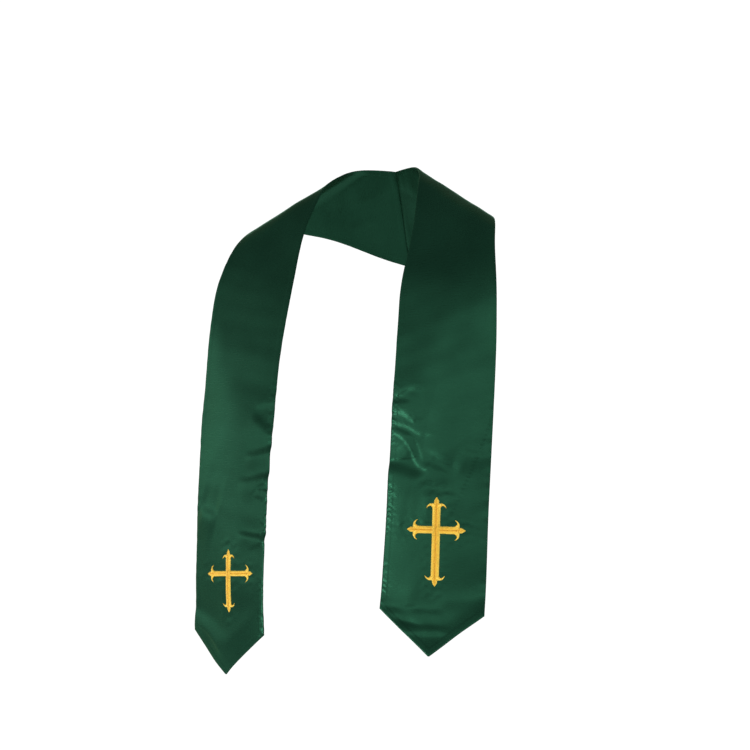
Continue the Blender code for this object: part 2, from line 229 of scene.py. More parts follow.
# Puckers of the edge seams: height everywhere and how much more there is on the front panels
FRONT_PUCKER_SPAN = (0.200, 0.330)
NECK_PUCKER = dict(reach=0.0085, height=0.00007, more=0.00017)
ARM_PUCKER = dict(reach=0.0070, height=0.00006, more=0.00005)
EVEN_PUCKER_SHARE = 0.55
NECK_PUCKER_FADE = 0.25
NECK_PUCKER_FADE_SPAN = (0.400, 0.500)
NECK_EDGE_FALL = 0.00060
NECK_EDGE_FALL_REACH = 0.0065

# The crumpled place between the creases of the left panel
CRUMPLE_PLACE = (0.311, -0.040)
CRUMPLE_REACH = (0.011, 0.014)
CRUMPLE_HEIGHT = 0.00008

# Cloth: two layers turned through, so each edge is a roll and a seam allowance swells inside it
CLOTH_HALF_THICKNESS = 0.0008
ROLL_RADIUS = 0.0013
ALLOWANCE_WIDTH = 0.0085
ALLOWANCE_RISE_SPAN = (0.0004, 0.0022)
ALLOWANCE_FALL_SPAN = (ALLOWANCE_WIDTH - 0.0018, ALLOWANCE_WIDTH)
ALLOWANCE_END_RADIUS = 0.003
ALLOWANCE_SWELL = 0.00022
SEAM_LAP = 0.00010
SEAM_ROLL = 0.0006
SEAM_SEARCH_SPAN = (-0.245, -0.060)
SEAM_HALVINGS = 24
NORMAL_STEP = 0.0005

# The grid of the cloth, closer at the edges and where the folds are fine. Its end hangs lower than
# the solid's by these drops at the neck side and at the arm side.
ROWS = 486
COLUMNS = 94
EDGE_STEPS = (0.0, 0.00012, 0.00040, 0.00085, 0.00140, 0.0021)
ROW_SPACING = 0.0024
COLUMN_SPACING = 0.0018
FINE_ROWS = {"left": ((0.262, 0.560, 0.00112),), "right": ((0.386, 0.610, 0.00118),)}
FINE_COLUMNS = ((-0.070, -0.012, 0.00110),)
FINE_EASE = 0.010
DENSE_STEPS = 4000
END_DROP = {"left": (0.0, 0.0), "right": (0.0045, 0.0010)}
CHEVRON_LENGTH = 0.100
SEAM_CHEVRON_LENGTH = 0.080
FLAT_MAP = "flat_cloth"
FLAT_MAP_SHIFT = (0.1, 0.3)

# Embroidered crosses: places and sizes of the frame's solids
CROSSES = {
    "left": dict(along=0.4455, across=0.0008, up=0.0400, down=0.0686, side=0.0365, bar=0.0100,
                 crossbar=0.0090, fleur=0.0128, upright_lean=1.8, crossbar_lean=1.7),
    "right": dict(along=0.5160, across=-0.0047, up=0.0305, down=0.0487, side=0.0412, bar=0.0086,
                  crossbar=0.0066, fleur=0.0110, upright_lean=-2.1, crossbar_lean=-0.3),
}
STITCH_DIP = 0.00022
STITCH_DIP_REACH = 0.0040
STITCH_RIPPLE = 0.00010
STITCH_RIPPLE_REACH = 0.006


def ease(value, start, end):
    """0 before start, 1 after end, and between them 3t^2 - 2t^3 of the share t covered."""
    share = np.clip((value - start) / (end - start), 0.0, 1.0)
    return share * share * (3.0 - 2.0 * share)


def turned(vector, axis, angle):
    """The vector v turned by a: v cos a + (axis x v) sin a + axis (axis . v)(1 - cos a)."""
    along_axis = axis * np.dot(axis, vector) * (1.0 - np.cos(angle))
    return vector * np.cos(angle) + np.cross(axis, vector) * np.sin(angle) + along_axis


def slant(along):
    """Slant of the lines that the cloth bends about, in radians: two eased steps."""
    degrees = SHOULDER_SLANT_DEG * (1.0 - ease(along, *SLANT_FADE_SPAN))
    more = (BACK_SLANT_DEG - SHOULDER_SLANT_DEG) * (1.0 - ease(along, *BACK_SLANT_SPAN))
    return np.radians(degrees + more)


def read(rows, along, wanted):
    """A table of vectors read at any places along the strip, straight between its rows."""
    return np.stack([np.interp(wanted, along, rows[:, axis]) for axis in range(3)], axis=-1)


def bend_table(half):
    """Run, side and normal carried along the middle line from the top of the shoulder, both ways.

    At each step the frame turns about the slanted bend line by the eased bend, about the run by
    the eased twist and about the normal by the eased turn; the centre line is the run summed up.
    """
    along = np.linspace(*BEND_TABLE_SPAN, BEND_TABLE_STEPS)
    rows = (SHARED_BENDS | FRONT_BENDS[half]).values()
    totals = [sum(np.radians(row.get(kind, 0.0)) * ease(along, row["start"], row["end"])
                  for row in rows) for kind in ("bend", "twist", "turn")]
    slants = slant(along)
    run = np.zeros((BEND_TABLE_STEPS, 3))
    side = np.zeros((BEND_TABLE_STEPS, 3))
    top = int(np.argmin(np.abs(along)))
    outward, downward, roll = np.radians((OUTWARD_DEG, DOWNWARD_DEG, OUTER_EDGE_DOWN_DEG))
    level_run = np.array((np.sin(outward), -np.cos(outward), 0.0)) * np.cos(downward)
    level_side = np.array((np.cos(outward), np.sin(outward), 0.0))
    run[top] = level_run - np.array((0.0, 0.0, np.sin(downward)))
    side[top] = turned(level_side, run[top], -roll)
    for step, places in ((1, range(top + 1, BEND_TABLE_STEPS)), (-1, range(top - 1, -1, -1))):
        for place in places:
            before = place - step
            lean = (slants[place] + slants[before]) / 2
            bend_line = np.sin(lean) * run[before] + np.cos(lean) * side[before]
            bend, twist, turn = (total[place] - total[before] for total in totals)
            normal = np.cross(run[before], side[before])
            spin = bend_line * bend - run[before] * twist + normal * turn
            angle = np.linalg.norm(spin)
            axis = spin / angle if angle > 0 else run[before]
            run[place] = turned(run[before], axis, angle)
            side[place] = turned(side[before], axis, angle)
    centre = np.zeros((BEND_TABLE_STEPS, 3))
    centre[1:] = np.cumsum((run[1:] + run[:-1]) / 2, axis=0) * (along[1] - along[0])
    centre += np.array(SHOULDER_TOP) - read(centre, along, np.zeros(1))[0]
    return dict(along=along, centre=centre, run=run, side=side, normal=np.cross(run, side))


BEND_TABLES = {half: bend_table(half) for half in MIRROR}


def end_drift(half, along, across):
    """Flare x eased step along x eased step across the outer side, + swing x eased step from the
    corner to the tip."""
    flare = FLARE[half] * ease(along, *FLARE_SPAN_ALONG) * ease(across, *FLARE_SPAN_ACROSS)
    corner = SHOULDER_TO_CORNER[half]
    return flare + SWING[half] * ease(along, corner, corner + POINT_DEPTH)


def middle_surface(half, along, across):
    """Middle of the cloth, before its folds.

    The bend line that passes through the flat place crosses the middle line at p, where
    p + across tan(slant(p)) = along, found by working p out of itself a few rounds over. The point
    is centre(p) + reach / cos(slant) x bend line, with reach = across less the ease round the
    neck, lowered for the crown by a parabola whose mean over the width is nothing.
    """
    table = BEND_TABLES[half]
    across = across + end_drift(half, along, across)
    place = along
    for _ in range(SLANT_ROUNDS):
        place = along - across * np.tan(slant(place))
    lean = slant(place)[..., None]
    run, side, normal, centre = (read(table[name], table["along"], place)
                                 for name in ("run", "side", "normal", "centre"))
    bend_line = np.sin(lean) * run + np.cos(lean) * side
    bend_line /= np.linalg.norm(bend_line, axis=-1, keepdims=True)
    eased = ease(along, *NECK_EASE_IN_SPAN) * (1.0 - ease(along, *NECK_EASE_OUT_SPAN))
    reach = (across * (1.0 - NECK_EASE * eased))[..., None]
    parabola = across ** 2 / (2 * STRIP_WIDTH) - STRIP_WIDTH / 24
    sag = np.radians(CROWN_DEG) * ease(along, *CROWN_SPAN) * parabola
    return centre + reach / np.cos(lean) * bend_line - sag[..., None] * normal


def crease_height(half, along, across):
    """Sum of bells: height x exp(-(sideways / width)^2 - (lengthways / half length)^4)."""
    height = np.zeros_like(along)
    for middle_along, middle_across, length, width, angle_deg, crest in CREASES[half]:
        angle = np.radians(angle_deg)
        run = along - middle_along
        side = across - middle_across
        lengthways = (side * np.cos(angle) + run * np.sin(angle)) / (length / 2)
        sideways = (run * np.cos(angle) - side * np.sin(angle)) / width
        height += crest * np.exp(-sideways ** 2 - lengthways ** 4)
    return height * CREASE_SHARE


def rounded(line):
    """The line with its corners cut twice: each joint is replaced by points 1/4 and 3/4 along."""
    points = np.array(line, float)
    for _ in range(2):
        near = points[:-1] * 0.75 + points[1:] * 0.25
        far = points[:-1] * 0.25 + points[1:] * 0.75
        inner = np.stack((near, far), axis=1).reshape(-1, 2)
        points = np.concatenate((points[:1], inner[1:-1], points[-1:]))
    return points


def reached(points):
    """How far along its own line each point lies: the running sum of the steps' lengths."""
    steps = np.linalg.norm(np.diff(points, axis=0), axis=1)
    return np.concatenate(((0.0,), np.cumsum(steps)))


def beside_line(points, along, across):
    """Distance to the nearest place of a line, the distance to that stretch of it counted + on
    the side towards the front end, and the share of the line's length that lies before it."""
    passed = reached(points)
    frontward = 1.0 if points[-1, 1] >= points[0, 1] else -1.0
    nearest = np.full(along.shape, np.inf)
    signed = np.zeros_like(along)
    share = np.zeros_like(along)
    for start, end, before in zip(points, points[1:], passed):
        length = np.linalg.norm(end - start)
        way = (end - start) / length
        reach = (along - start[0]) * way[0] + (across - start[1]) * way[1]
        inside = np.clip(reach, 0.0, length)
        beside = (along - start[0]) * way[1] - (across - start[1]) * way[0]
        gap = np.hypot(beside, reach - inside)
        closer = gap < nearest
        nearest = np.where(closer, gap, nearest)
        signed = np.where(closer, beside * frontward, signed)
        share = np.where(closer, (before + inside) / passed[-1], share)
    return nearest, signed, share


def fold_height(half, along, across):
    """Sum of the folds, with d the distance to the fold's rounded line and w its width.

    A ridge is height x exp(-(d/w)^2). A step is -lean x tanh(s/w) x exp(-(d/(5w))^2), with s the
    distance counted + on the side towards the front end. A bend is -bend x w x ln(1 + exp(s/w)),
    which is level before the line and slopes after it. All fade out at the line's two ends by an
    eased rise over the first part of its length and an eased fall over the last.
    """
    height = np.zeros_like(along)
    for kind, size, width, line in FOLDS[half].values():
        nearest, signed, share = beside_line(rounded(line) * MM, along, across)
        widths = signed / (width * MM)
        if kind == "lean":
            settled = np.exp(-(nearest / (LEAN_REACH * width * MM)) ** 2)
            profile = -size * np.tanh(widths) * settled
        elif kind == "bend":
            profile = -size * width * np.logaddexp(0.0, widths)
        else:
            profile = size * np.exp(-(nearest / (width * MM)) ** 2)
        height += MM * profile * ease(share, *FOLD_FADE_IN) * (1.0 - ease(share, *FOLD_FADE_OUT))
    return height


def waves(name, half, along, across):
    """Sum of sine waves whose lengths, headings and phases are drawn with the half's own seed,
    divided by the square root of their number."""
    kind = WAVES[name]
    draw = np.random.default_rng(kind[half])
    lengths = draw.uniform(*kind["lengths"], kind["count"])
    headings = np.radians(draw.uniform(-kind["turn_deg"], kind["turn_deg"], kind["count"]))
    phases = draw.uniform(0.0, 2 * np.pi, kind["count"])
    total = np.zeros_like(along)
    for length, heading, phase in zip(lengths, headings, phases):
        run = along * np.cos(heading) + across * np.sin(heading)
        total += np.sin(2 * np.pi * run / length + phase)
    return total / np.sqrt(kind["count"])


def slackness(half, along, across):
    """Broad unevenness of the satin: long seeded waves, weaker near the cross's stiff stitching."""
    cross = CROSSES[half]
    below = (along - cross["along"] - CALM_CENTRE_BELOW) / CALM_REACH[0]
    to_cross = np.hypot(below, (across - cross["across"]) / CALM_REACH[1])
    calm = CALM_SHARE + (1.0 - CALM_SHARE) * ease(to_cross, *CALM_SPAN)
    broad = BROAD_SLACK * waves("broad slack", half, along, across)
    small = SMALL_SLACK * waves("small slack", half, along, across)
    return (broad + small) * calm


def pucker_height(half, along, across):
    """Small ripples that the edge seams draw up: waves x exp(-(d / reach)^2), with d the distance
    to the edge, and higher on the front panels.

    Along the neck edge they are uneven and fade by a quarter towards the end, and the edge itself
    falls back by 0.6 mm on the front panels.
    """
    front = ease(along, *FRONT_PUCKER_SPAN)
    to_neck = HALF_WIDTH + across
    uneven = waves("uneven", half, along, across)
    neck = waves("neck edge", half, along, across)
    neck *= EVEN_PUCKER_SHARE + (1.0 - EVEN_PUCKER_SHARE) * uneven
    neck *= 1.0 - NECK_PUCKER_FADE * ease(along, *NECK_PUCKER_FADE_SPAN)
    arm = waves("arm edge", half, along, across)
    height = -NECK_EDGE_FALL * front * np.exp(-(to_neck / NECK_EDGE_FALL_REACH) ** 2)
    to_arm = HALF_WIDTH - across
    for ripple, size, to_edge in ((neck, NECK_PUCKER, to_neck), (arm, ARM_PUCKER, to_arm)):
        strength = size["height"] + size["more"] * front
        height += strength * ripple * np.exp(-(to_edge / size["reach"]) ** 2)
    return height


def crumple(half, along, across):
    """Fine wrinkles between the creases of the left panel: short seeded waves of all headings,
    inside an oval bell."""
    if half == "right":
        return np.zeros_like(along)
    down = (along - CRUMPLE_PLACE[0]) / CRUMPLE_REACH[0]
    side = (across - CRUMPLE_PLACE[1]) / CRUMPLE_REACH[1]
    return CRUMPLE_HEIGHT * np.exp(-down ** 2 - side ** 2) * waves("crumple", half, along, across)


def cross_distance(half, along, across):
    """Distance on the flat cloth to the nearer of the cross's two bars."""
    cross = CROSSES[half]
    up = cross["along"] - along
    side = across - cross["across"]
    to_upright = np.hypot(side, up - np.clip(up, -cross["down"], cross["up"]))
    to_crossbar = np.hypot(up, side - np.clip(side, -cross["side"], cross["side"]))
    return np.minimum(to_upright, to_crossbar)


def stitched_pull(half, along, across):
    """The stitching draws the cloth down beside the bars and leaves faint ripples round them: two
    bells of the distance to the bars, the second one times waves on the bias."""
    gap = cross_distance(half, along, across) - CROSSES[half]["bar"] / 2
    dip = np.exp(-(gap / STITCH_DIP_REACH) ** 2)
    beyond = np.exp(-(gap / STITCH_RIPPLE_REACH - 1.0) ** 2)
    ripple = waves("stitching", half, along + across, across - along)
    return STITCH_RIPPLE * ripple * beyond - STITCH_DIP * dip


def relief(half, along, across):
    """Height of all the folds, waves and puckers over the middle surface."""
    parts = (crease_height, fold_height, slackness, pucker_height, crumple, stitched_pull)
    return sum(part(half, along, across) for part in parts)


def cloth_point(half, along, across, lift):
    """Middle surface + (relief + lift) x unit normal.

    The normal is the cross product of small steps along and across; the wearer's right half is
    the same surface seen in a mirror at x = 0.
    """
    step = NORMAL_STEP
    run = middle_surface(half, along + step, across) - middle_surface(half, along - step, across)
    side = middle_surface(half, along, across + step) - middle_surface(half, along, across - step)
    normal = np.cross(run, side)
    normal /= np.linalg.norm(normal, axis=-1, keepdims=True)
    height = relief(half, along, across) + lift
    point = middle_surface(half, along, across) + normal * height[..., None]
    return point * np.array((MIRROR[half], 1.0, 1.0))


def seam_places(half, across):
    """Where each lengthways line meets the centre-back plane, by halving the search span. The two
    halves lap a little there, so that the seam stays closed."""
    low = np.full(across.shape, SEAM_SEARCH_SPAN[0])
    high = np.full(across.shape, SEAM_SEARCH_SPAN[1])
    for _ in range(SEAM_HALVINGS):
        middle = (low + high) / 2
        outward = cloth_point(half, middle, across, 0.0)[..., 0] * MIRROR[half]
        beyond = outward > -SEAM_LAP / 2
        high = np.where(beyond, middle, high)
        low = np.where(beyond, low, middle)
    return (low + high) / 2


def edged_steps(start, end, count, spacing, fine_spans):
    """Places from start to end: the edge steps at both ends and, between them, steps in
    proportion to the spacing, which eases to the smaller one of each fine span."""
    edge = np.array(EDGE_STEPS)
    dense = np.linspace(start + edge[-1], end - edge[-1], DENSE_STEPS)
    wanted = np.full(dense.shape, spacing)
    for first, last, fine in fine_spans:
        inside = ease(dense, first - FINE_EASE, first) * (1.0 - ease(dense, last, last + FINE_EASE))
        wanted = wanted + (fine - spacing) * inside
    covered = np.concatenate(((0.0,), np.cumsum(1.0 / (wanted[:-1] + wanted[1:]))))
    inner = np.interp(np.linspace(0.0, covered[-1], count - 2 * len(edge) + 2), covered, dense)
    return np.concatenate((start + edge[:-1], inner, end - edge[-2::-1]))


def strip_places(half):
    """Flat places of the cloth grid and each one's distance to the nearest edge and to the seam.

    Rows run straight across in the middle, slant with the mitre at the back and turn at the front
    into the V of the point, with the end's drop added.
    """
    across = edged_steps(-HALF_WIDTH, HALF_WIDTH, COLUMNS, COLUMN_SPACING, FINE_COLUMNS)
    seam = seam_places(half, across)
    corner = SHOULDER_TO_CORNER[half]
    rows = edged_steps(seam.max(), corner, ROWS, ROW_SPACING, FINE_ROWS[half])
    neck_side = (HALF_WIDTH - across) / STRIP_WIDTH
    neck_drop, arm_drop = END_DROP[half]
    drop = neck_drop * neck_side + arm_drop * (1.0 - neck_side)
    point = POINT_DEPTH * (1.0 - np.abs(across) / HALF_WIDTH) + drop
    towards_point = ease(rows, corner - CHEVRON_LENGTH, corner)[:, None]
    towards_seam = 1.0 - ease(rows, seam.max(), seam.max() + SEAM_CHEVRON_LENGTH)[:, None]
    along = rows[:, None] + towards_point * point + towards_seam * (seam - seam.max())
    across = np.broadcast_to(across, along.shape)
    tip_cosine = HALF_WIDTH / np.hypot(HALF_WIDTH, POINT_DEPTH)
    seam_cosine = 1.0 / np.hypot(1.0, np.gradient(seam, across[0]))
    to_edge = np.minimum(HALF_WIDTH - np.abs(across), (corner + point - along) * tip_cosine)
    return along, across, to_edge, (along - seam) * seam_cosine


def quarter_round(distance, radius):
    """Quarter circle that rises from 0 at the edge to 1 at the radius."""
    rise = 1.0 - np.clip(distance / radius, 0.0, 1.0)
    return np.sqrt(1.0 - rise * rise)


def allowance(distance):
    """1 over the seam allowance that lies inside an edge, eased away at both its sides."""
    return ease(distance, *ALLOWANCE_RISE_SPAN) * (1.0 - ease(distance, *ALLOWANCE_FALL_SPAN))


def half_thickness(to_edge, to_seam):
    """Cloth thickness x both quarter rounds, + the swell of the seam allowances inside."""
    at_seam = allowance(to_seam) * quarter_round(to_edge, ALLOWANCE_END_RADIUS)
    swell = ALLOWANCE_SWELL * np.maximum(allowance(to_edge), at_seam)
    rolls = quarter_round(to_edge, ROLL_RADIUS) * quarter_round(to_seam, SEAM_ROLL)
    return CLOTH_HALF_THICKNESS * rolls + swell


def new_mesh(name, points, groups):
    """A smooth shaded mesh from whole arrays: its points, and groups of faces of equal sides."""
    corners = np.concatenate([group.ravel() for group in groups])
    sizes = np.concatenate([np.full(len(group), group.shape[1]) for group in groups])
    starts = np.cumsum(sizes) - sizes
    mesh = bpy.data.meshes.new(name)
    mesh.vertices.add(len(points))
    mesh.vertices.foreach_set("co", points.astype(np.float32).ravel())
    mesh.loops.add(len(corners))
    mesh.loops.foreach_set("vertex_index", corners.astype(np.int32))
    mesh.polygons.add(len(sizes))
    mesh.polygons.foreach_set("loop_start", starts.astype(np.int32))
    mesh.update(calc_edges=True)
    mesh.validate()
    mesh.shade_smooth()
    return mesh


def in_scene(name, data):
    """A mesh, camera or light as an object of the scene."""
    thing = bpy.data.objects.new(name, data)
    bpy.context.scene.collection.objects.link(thing)
    return thing


def new_piece(mesh, material):
    """A mesh as a piece of the stole, with its material, attached to the body's root."""
    mesh.materials.append(material)
    piece = in_scene(mesh.name, mesh)
    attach(piece, "root")
    return piece


def grid_faces(numbers):
    """Four-sided faces between the neighbours of a grid of point numbers."""
    corners = (numbers[:-1, :-1], numbers[1:, :-1], numbers[1:, 1:], numbers[:-1, 1:])
    return np.stack(corners, axis=-1).reshape(-1, 4)


def satin_half(half, material):
    """One half as a closed shell: two layers of the same grid, half a thickness to each side of
    the folded surface, which meet in the points of the edge, where the thickness is nothing. Its
    map holds the flat places, shifted so that all are above 0."""
    along, across, to_edge, to_seam = strip_places(half)
    thick = half_thickness(to_edge, to_seam)
    layers = [cloth_point(half, along, across, sign * thick) for sign in (1.0, -1.0)]
    outer = np.arange(along.size).reshape(along.shape)
    inner = outer + along.size
    for edge in (np.s_[0, :], np.s_[-1, :], np.s_[:, 0], np.s_[:, -1]):
        inner[edge] = outer[edge]
    points = np.concatenate([layer.reshape(-1, 3) for layer in layers])
    faces = np.concatenate((grid_faces(outer), grid_faces(inner)[:, ::-1]))
    if half == "right":
        faces = faces[:, ::-1]
    used, renumbered = np.unique(faces, return_inverse=True)
    faces = renumbered.reshape(faces.shape)
    flat = np.stack((across.ravel(), along.ravel()), axis=-1) + np.array(FLAT_MAP_SHIFT)
    flat = np.concatenate((flat, flat))[used]
    mesh = new_mesh(f"satin_{half}_half", points[used], [faces])
    piece = new_piece(mesh, material)
    uv = mesh.uv_layers.new(name=FLAT_MAP)
    uv.data.foreach_set("uv", flat[faces.ravel()].astype(np.float32).ravel())
    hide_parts(f"stole_{half}_half")
    return piece


# Places round one hook and the bud, (past the crown, sideways), and the bud's length, in shares of
# the fleur's half width
FLEUR_BUD = 0.57
HOOK_UPPER = ((-0.04, 0.10), (-0.02, 0.34), (-0.04, 0.60), (-0.19, 0.84), (-0.50, 0.98))
HOOK_LOWER = ((-0.60, 0.28), (-0.41, 0.41), (-0.25, 0.55), (-0.28, 0.73), (-0.50, 0.98))
BUD_SIDE = ((-0.20, 0.24), (0.00, 0.23), (0.14, 0.25), (0.30, 0.20), (0.45, 0.09), (0.57, 0.00))

# Shares of the fleur's half width: where the bar widens and by how much, where it ends, the throat
# between bar and bud, where the slant of the stitches fades, and the length of a hook's row
BAR_WIDENS_BEFORE = 0.62
BAR_WIDENING = 0.05
BAR_END_BEFORE = 0.02
THROAT_BEFORE = 0.10
THROAT_HALF_WIDTH = 0.30
SLANT_FADES_BEFORE = (0.90, 0.10)
HOOK_ROW_LENGTH = 1.45
HOOK_ROW_SHARE = 0.985

# Stitches, in metres: how far the crossbar's begin inside the upright, how far a pair of columns
# overlaps on the centre line, how far short of the bud's tip they begin and end, and their thread
CROSSBAR_TUCK = 0.0012
SPLIT_OVERLAP = 0.00012
BUD_LAST_START = 0.0008
BUD_LAST_END = 0.0002
BUD_SLANT = 0.0014
BAR_SLANT = 0.42
THREAD_PITCH = 0.00040
THREAD_WIDTH = 0.00026
THREAD_DEPTH = 0.00020
STITCH_HEIGHT = 0.00115
STITCH_SINK = 0.00012
STITCH_STRAY = 0.00006
FULL_HEIGHT_LENGTH = 0.0042
LOWEST_SHARE = 0.45
HEIGHT_SPREAD = 0.04
ARCH_POWER = 0.55
SPLIT_ARCH_START = 0.16
STITCH_RINGS = 9
STITCH_SIDES = 5
STITCH_SEED = {"left": 71, "right": 72}

# Tone from 0, dark, to 1, light: at a stitch's start, and how much lighter it is at its end. This
# rise is painted light: painted shade in the groove where the split stitches start at the centre
# line, and a painted sheen towards the bars' edges and along the hooks' stitches. Only the spread
# is the threads' own random tone.
SPLIT_PAINTED_SHADE_TO_SHEEN = (0.04, 0.90)
SPLIT_SHEEN_POWER = 0.75
WHOLE_PAINTED_SHEEN = (0.55, 0.40)
TONE_SPREAD = 0.12


def smooth_line(points, shares):
    """A line of places read at shares of its length, with its corners rounded first."""
    points = rounded(points)
    passed = reached(points)
    wanted = shares * passed[-1]
    return np.stack([np.interp(wanted, passed, points[:, axis]) for axis in range(2)], axis=-1)


def arm_stitches(root, reach, bar, fleur):
    """Rows of stitches for one arm that points along +x: start places, end places, and whether
    the row is one of two that are split along the centre line.

    The bar has two columns of slanting stitches from its centre line to its edges, the bud the
    same, and each hook one row of whole stitches across it.
    """
    crown = reach - FLEUR_BUD * fleur
    throat = crown - THROAT_BEFORE * fleur
    slant_fade = [crown - share * fleur for share in SLANT_FADES_BEFORE]
    shares = np.linspace(0.0, HOOK_ROW_SHARE, int(HOOK_ROW_LENGTH * fleur / THREAD_PITCH))
    past, wide = np.array(BUD_SIDE).T * fleur
    rows = []
    for side in (-1.0, 1.0):
        on_bar = np.arange(root, crown - BAR_END_BEFORE * fleur, THREAD_PITCH)
        widening = BAR_WIDENING * fleur * ease(on_bar, crown - BAR_WIDENS_BEFORE * fleur, crown)
        width = bar / 2 + widening
        width = np.where(on_bar > throat, np.minimum(width, THROAT_HALF_WIDTH * fleur), width)
        lean = BAR_SLANT * (1.0 - ease(on_bar, *slant_fade)) * ease(on_bar, root, root + bar)
        on_bud = np.arange(throat, reach - BUD_LAST_START, THREAD_PITCH)
        tips = np.minimum(on_bud + BUD_SLANT, reach - BUD_LAST_END)
        for places, out, sideways in ((on_bar, on_bar + lean * width, width),
                                      (on_bud, tips, np.interp(tips - crown, past, wide))):
            start = np.stack((places, np.full_like(places, -SPLIT_OVERLAP * side)), axis=-1)
            rows.append((start, np.stack((out, side * sideways), axis=-1), True))
        lower, upper = ((smooth_line(line, shares) * fleur + (crown, 0.0)) * (1.0, side)
                        for line in (HOOK_LOWER, HOOK_UPPER))
        rows.append((lower, upper, False))
    return rows


def cross_stitches(cross):
    """Start and end places of all the stitches in the cross's own plane, and which are split:
    each arm's rows turned by a quarter turn more, the arm on the +x side first."""
    side_arm = (cross["bar"] / 2 - CROSSBAR_TUCK, cross["side"], cross["crossbar"])
    arms = (side_arm, (0.0, cross["up"], cross["bar"]),
            side_arm, (0.0, cross["down"], cross["bar"]))
    starts, ends, splits = [], [], []
    for turn, arm in zip(np.radians((0.0, 90.0, 180.0, 270.0)), arms):
        matrix = np.array(((np.cos(turn), np.sin(turn)), (-np.sin(turn), np.cos(turn))))
        for start, end, split in arm_stitches(*arm, cross["fleur"]):
            starts.append(start @ matrix)
            ends.append(end @ matrix)
            splits.append(np.full(len(start), split))
    return np.concatenate(starts), np.concatenate(ends), np.concatenate(splits)


def stitched_cross(half):
    """Points, groups of faces and tones of one cross, each stitch a closed tube. The tones hold
    painted shade at the centre line and a painted sheen towards each stitch's end, with a random
    spread.

    A stitch's centre runs straight from start to end on the flat cloth and arches over it. A whole
    stitch rises as sin(pi v) to the power 0.55 of its share v. A split one starts at 0.16 of that
    arch, about two thirds of its height, at the centre line. Low arches go with short stitches.
    The flat places and heights are then carried onto the panel's surface.
    """
    cross = CROSSES[half]
    draw = np.random.default_rng(STITCH_SEED[half])
    start, end, split = cross_stitches(cross)
    split = split[:, None]
    count = len(start)
    stray = draw.normal(0.0, STITCH_STRAY, (count, 1, 2))
    share = np.linspace(0.0, 1.0, STITCH_RINGS)[None, :]
    way = end - start
    length = np.linalg.norm(way, axis=1)
    unit = way / length[:, None]
    beside = np.stack((-unit[:, 1], unit[:, 0]), axis=-1)
    arch_place = np.where(split, SPLIT_ARCH_START + (1.0 - SPLIT_ARCH_START) * share, share)
    arch = np.sin(np.pi * arch_place) ** ARCH_POWER
    arch[:, -1] = 0.0
    full = STITCH_HEIGHT * np.clip(length / FULL_HEIGHT_LENGTH, LOWEST_SHARE, 1.0)
    full = full * draw.uniform(1.0 - HEIGHT_SPREAD, 1.0 + HEIGHT_SPREAD, count)
    height = arch * full[:, None] - STITCH_SINK
    turn = np.linspace(0.0, 2 * np.pi, STITCH_SIDES, endpoint=False)[None, None, :]
    centre = start[:, None, :] + way[:, None, :] * share[..., None] + stray
    sideways = THREAD_WIDTH * np.cos(turn)[..., None]
    flat = centre[:, :, None, :] + beside[:, None, None, :] * sideways
    lift = height[:, :, None] + THREAD_DEPTH * np.sin(turn)
    x, y = flat[..., 0], flat[..., 1]
    across = cross["across"] + x - y * np.tan(np.radians(cross["upright_lean"]))
    along = cross["along"] - y - x * np.tan(np.radians(cross["crossbar_lean"]))
    points = cloth_point(half, along, across, CLOTH_HALF_THICKNESS + lift).reshape(-1, 3)
    numbers = np.arange(len(points)).reshape(count, STITCH_RINGS, STITCH_SIDES)
    after = np.roll(numbers, -1, axis=2)
    walls = np.stack((numbers[:, :-1], after[:, :-1], after[:, 1:], numbers[:, 1:]), axis=-1)
    first, last = numbers[:, 0], numbers[:, -1]
    faces = [walls.reshape(-1, 4), first[:, (3, 2, 1, 0)], last[:, (0, 1, 2, 3)],
             first[:, (0, 4, 3)], last[:, (3, 4, 0)]]
    # Painted light in the tones: dark at the centre line for painted shade in the groove, lighter
    # towards the edges for painted sheen; the random spread is the threads' own tone
    split_painted_shade_and_sheen = SPLIT_PAINTED_SHADE_TO_SHEEN[0] + SPLIT_PAINTED_SHADE_TO_SHEEN[1] * share ** SPLIT_SHEEN_POWER
    tone_and_sheen = np.where(split, split_painted_shade_and_sheen, WHOLE_PAINTED_SHEEN[0] + WHOLE_PAINTED_SHEEN[1] * share)
    tone_and_sheen = np.clip(tone_and_sheen + draw.uniform(-TONE_SPREAD, TONE_SPREAD, count)[:, None], 0.0, 1.0)
    return points, faces, tone_and_sheen[:, :, None].repeat(STITCH_SIDES, axis=2).ravel()


def cross_piece(half, material):
    """One cross's stitches as a mesh, with each stitch's tone, painted shade and painted sheen as
    an attribute.
    """
    points, faces, tones_and_sheen = stitched_cross(half)
    mesh = new_mesh(f"gold_stitches_{half}", points, faces)
    if half == "right":
        mesh.flip_normals()
    tone_and_sheen = mesh.attributes.new("tone_and_painted_sheen", "FLOAT", "POINT")
    tone_and_sheen.data.foreach_set("value", tones_and_sheen.astype(np.float32))
    piece = new_piece(mesh, material)
    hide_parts(f"cross_{half}")
    return piece


def set_sockets(material, node, sockets):
    """Fills a node's sockets: another node's output is linked, anything else is a value."""
    for name, given in sockets.items():
        if isinstance(given, bpy.types.NodeSocket):
            material.node_tree.links.new(given, node.inputs[name])
        else:
            node.inputs[name].default_value = given


def new_material(name, sockets):
    """A material and its shader, with the shader's own sockets set."""
    material = bpy.data.materials.new(name)
    material.use_nodes = True
    shader = material.node_tree.nodes["Principled BSDF"]
    set_sockets(material, shader, sockets)
    return material, shader


def add_node(material, kind, sockets):
    """One more node of a material, with its sockets set."""
    node = material.node_tree.nodes.new(f"ShaderNode{kind}")
    set_sockets(material, node, sockets)
    return node


def attribute(material, name, output):
    """What a mesh's own attribute says."""
    node = add_node(material, "Attribute", {})
    node.attribute_name = name
    return node.outputs[output]


